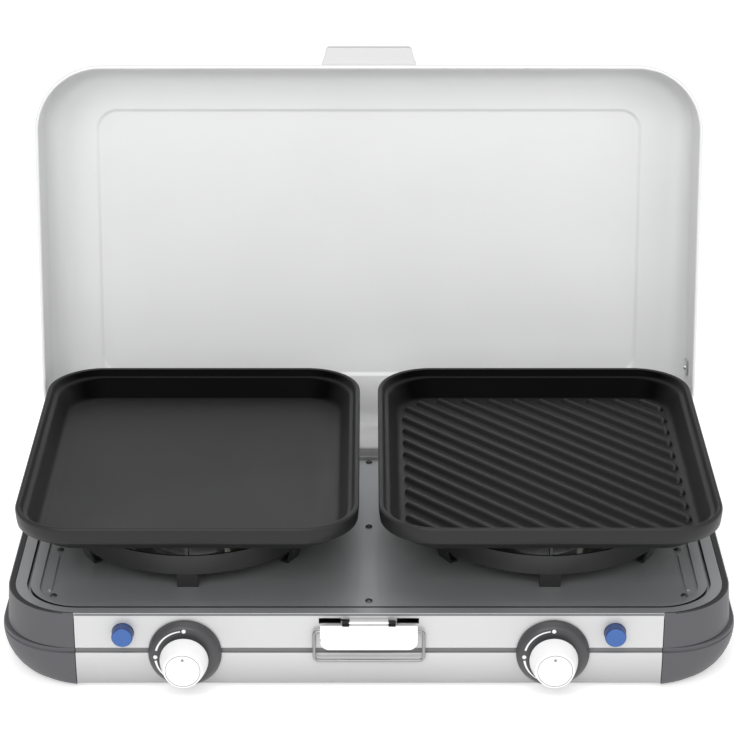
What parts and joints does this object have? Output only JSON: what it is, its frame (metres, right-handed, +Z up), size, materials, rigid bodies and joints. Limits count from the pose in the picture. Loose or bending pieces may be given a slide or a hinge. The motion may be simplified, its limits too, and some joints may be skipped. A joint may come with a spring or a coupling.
{
  "type": "folding camp grill",
  "caption": "Portable gas stove in a low case with a griddle pan, a ribbed grill pan, turn knobs, push igniters, a wire latch and a hinged lid standing open.",
  "frame": {"origin": "on the ground under the middle of the whole part with the lid open", "axes": "+X to the right of someone at the knobs, +Y to the back where the lid is, +Z up"},
  "size_m": [0.578, 0.4474, 0.4139],
  "materials": {
    "silver_sheet": "satin",
    "lid_paint": "satin",
    "hob_steel": "satin",
    "cap_plastic": "matt",
    "pan_coating": "non-stick, matt",
    "black_enamel": "semi-gloss",
    "white_plastic": "satin",
    "blue_plastic": "gloss",
    "steel": "zinc plated",
    "brass": "satin",
    "burner_alloy": "cast",
    "rubber": "matt",
    "ceramic": "glazed",
    "bezel_plastic": "matt"
  },
  "bodies": {
    "stove": {"front_panel": "silver_sheet", "rear_panel": "silver_sheet", "bottom_tray": "silver_sheet", "latch_bracket": "silver_sheet", "deck_plate": "hob_steel", "end_cap_left": "cap_plastic", "end_cap_right": "cap_plastic", "pan_support_left": "black_enamel", "pan_support_right": "black_enamel", "burner_cap_left": "black_enamel", "burner_cap_right": "black_enamel", "latch_pin": "steel", "gas_rail": "steel", "base_hinge_left": "steel", "base_hinge_right": "steel", "mixing_tube_left": "steel", "mixing_tube_right": "steel", "deck_screw_1": "steel", "deck_screw_2": "steel", "deck_screw_3": "steel", "deck_screw_4": "steel", "deck_screw_5": "steel", "deck_screw_6": "steel", "deck_screw_7": "steel", "gas_inlet": "brass", "gas_valve_left": "brass", "gas_valve_right": "brass", "burner_head_left": "burner_alloy", "burner_head_right": "burner_alloy", "foot_front_left": "rubber", "foot_front_right": "rubber", "foot_rear_left": "rubber", "foot_rear_right": "rubber", "spark_electrode_left": "ceramic", "spark_electrode_right": "ceramic", "knob_bezel_left": "bezel_plastic", "knob_bezel_right": "bezel_plastic", "igniter_housing_left": "bezel_plastic", "igniter_housing_right": "bezel_plastic"},
    "lid": {"lid_shell": "lid_paint", "lid_catch": "white_plastic", "lid_side_bracket": "steel", "lid_hinge_leaf_left": "steel", "lid_hinge_leaf_right": "steel", "lid_hinge_pin_left": "steel", "lid_hinge_pin_right": "steel"},
    "griddle": {"griddle_pan": "pan_coating"},
    "grill": {"grill_pan": "pan_coating"},
    "collar_left": {"valve_collar_left": "steel"},
    "collar_right": {"valve_collar_right": "steel"},
    "knob_left": {"knob_left": "white_plastic", "valve_spindle_left": "brass"},
    "knob_right": {"knob_right": "white_plastic", "valve_spindle_right": "brass"},
    "button_left": {"igniter_button_left": "blue_plastic"},
    "button_right": {"igniter_button_right": "blue_plastic"},
    "lever": {"latch_lever": "white_plastic"},
    "bail": {"latch_bail": "steel"}
  },
  "joints": [
    {"name": "lid_hinge", "type": "hinge", "parent": "stove", "child": "lid", "pos_m": [0, 0.12095, 0.086], "axis": [-1, 0, 0], "range_deg": [-99, 0]},
    {"name": "griddle_lift", "type": "slide", "parent": "stove", "child": "griddle", "axis": [0, 0, 1], "range_m": [0, 0.09]},
    {"name": "grill_lift", "type": "slide", "parent": "stove", "child": "grill", "axis": [0, 0, 1], "range_m": [0, 0.09]},
    {"name": "knob_push_left", "type": "slide", "parent": "stove", "child": "collar_left", "axis": [0, 1, 0], "range_m": [0, 0.003], "stiffness_N_per_m": 600, "springref_m": -0.004},
    {"name": "knob_turn_left", "type": "hinge", "parent": "collar_left", "child": "knob_left", "pos_m": [-0.142, -0.214, 0.034], "axis": [0, -1, 0], "range_deg": [0, 210]},
    {"name": "igniter_press_left", "type": "slide", "parent": "stove", "child": "button_left", "axis": [0, 1, 0], "range_m": [0, 0.004], "stiffness_N_per_m": 500, "springref_m": -0.004},
    {"name": "knob_push_right", "type": "slide", "parent": "stove", "child": "collar_right", "axis": [0, 1, 0], "range_m": [0, 0.003], "stiffness_N_per_m": 600, "springref_m": -0.004},
    {"name": "knob_turn_right", "type": "hinge", "parent": "collar_right", "child": "knob_right", "pos_m": [0.142, -0.214, 0.034], "axis": [0, -1, 0], "range_deg": [0, 210]},
    {"name": "igniter_press_right", "type": "slide", "parent": "stove", "child": "button_right", "axis": [0, 1, 0], "range_m": [0, 0.004], "stiffness_N_per_m": 500, "springref_m": -0.004},
    {"name": "latch_lever_hinge", "type": "hinge", "parent": "stove", "child": "lever", "pos_m": [0, -0.1976, 0.0613], "axis": [-1, 0, 0], "range_deg": [0, 100]},
    {"name": "latch_bail_hinge", "type": "hinge", "parent": "lever", "child": "bail", "pos_m": [0, -0.1976, 0.0538], "axis": [-1, 0, 0], "range_deg": [0, 125]}
  ]
}
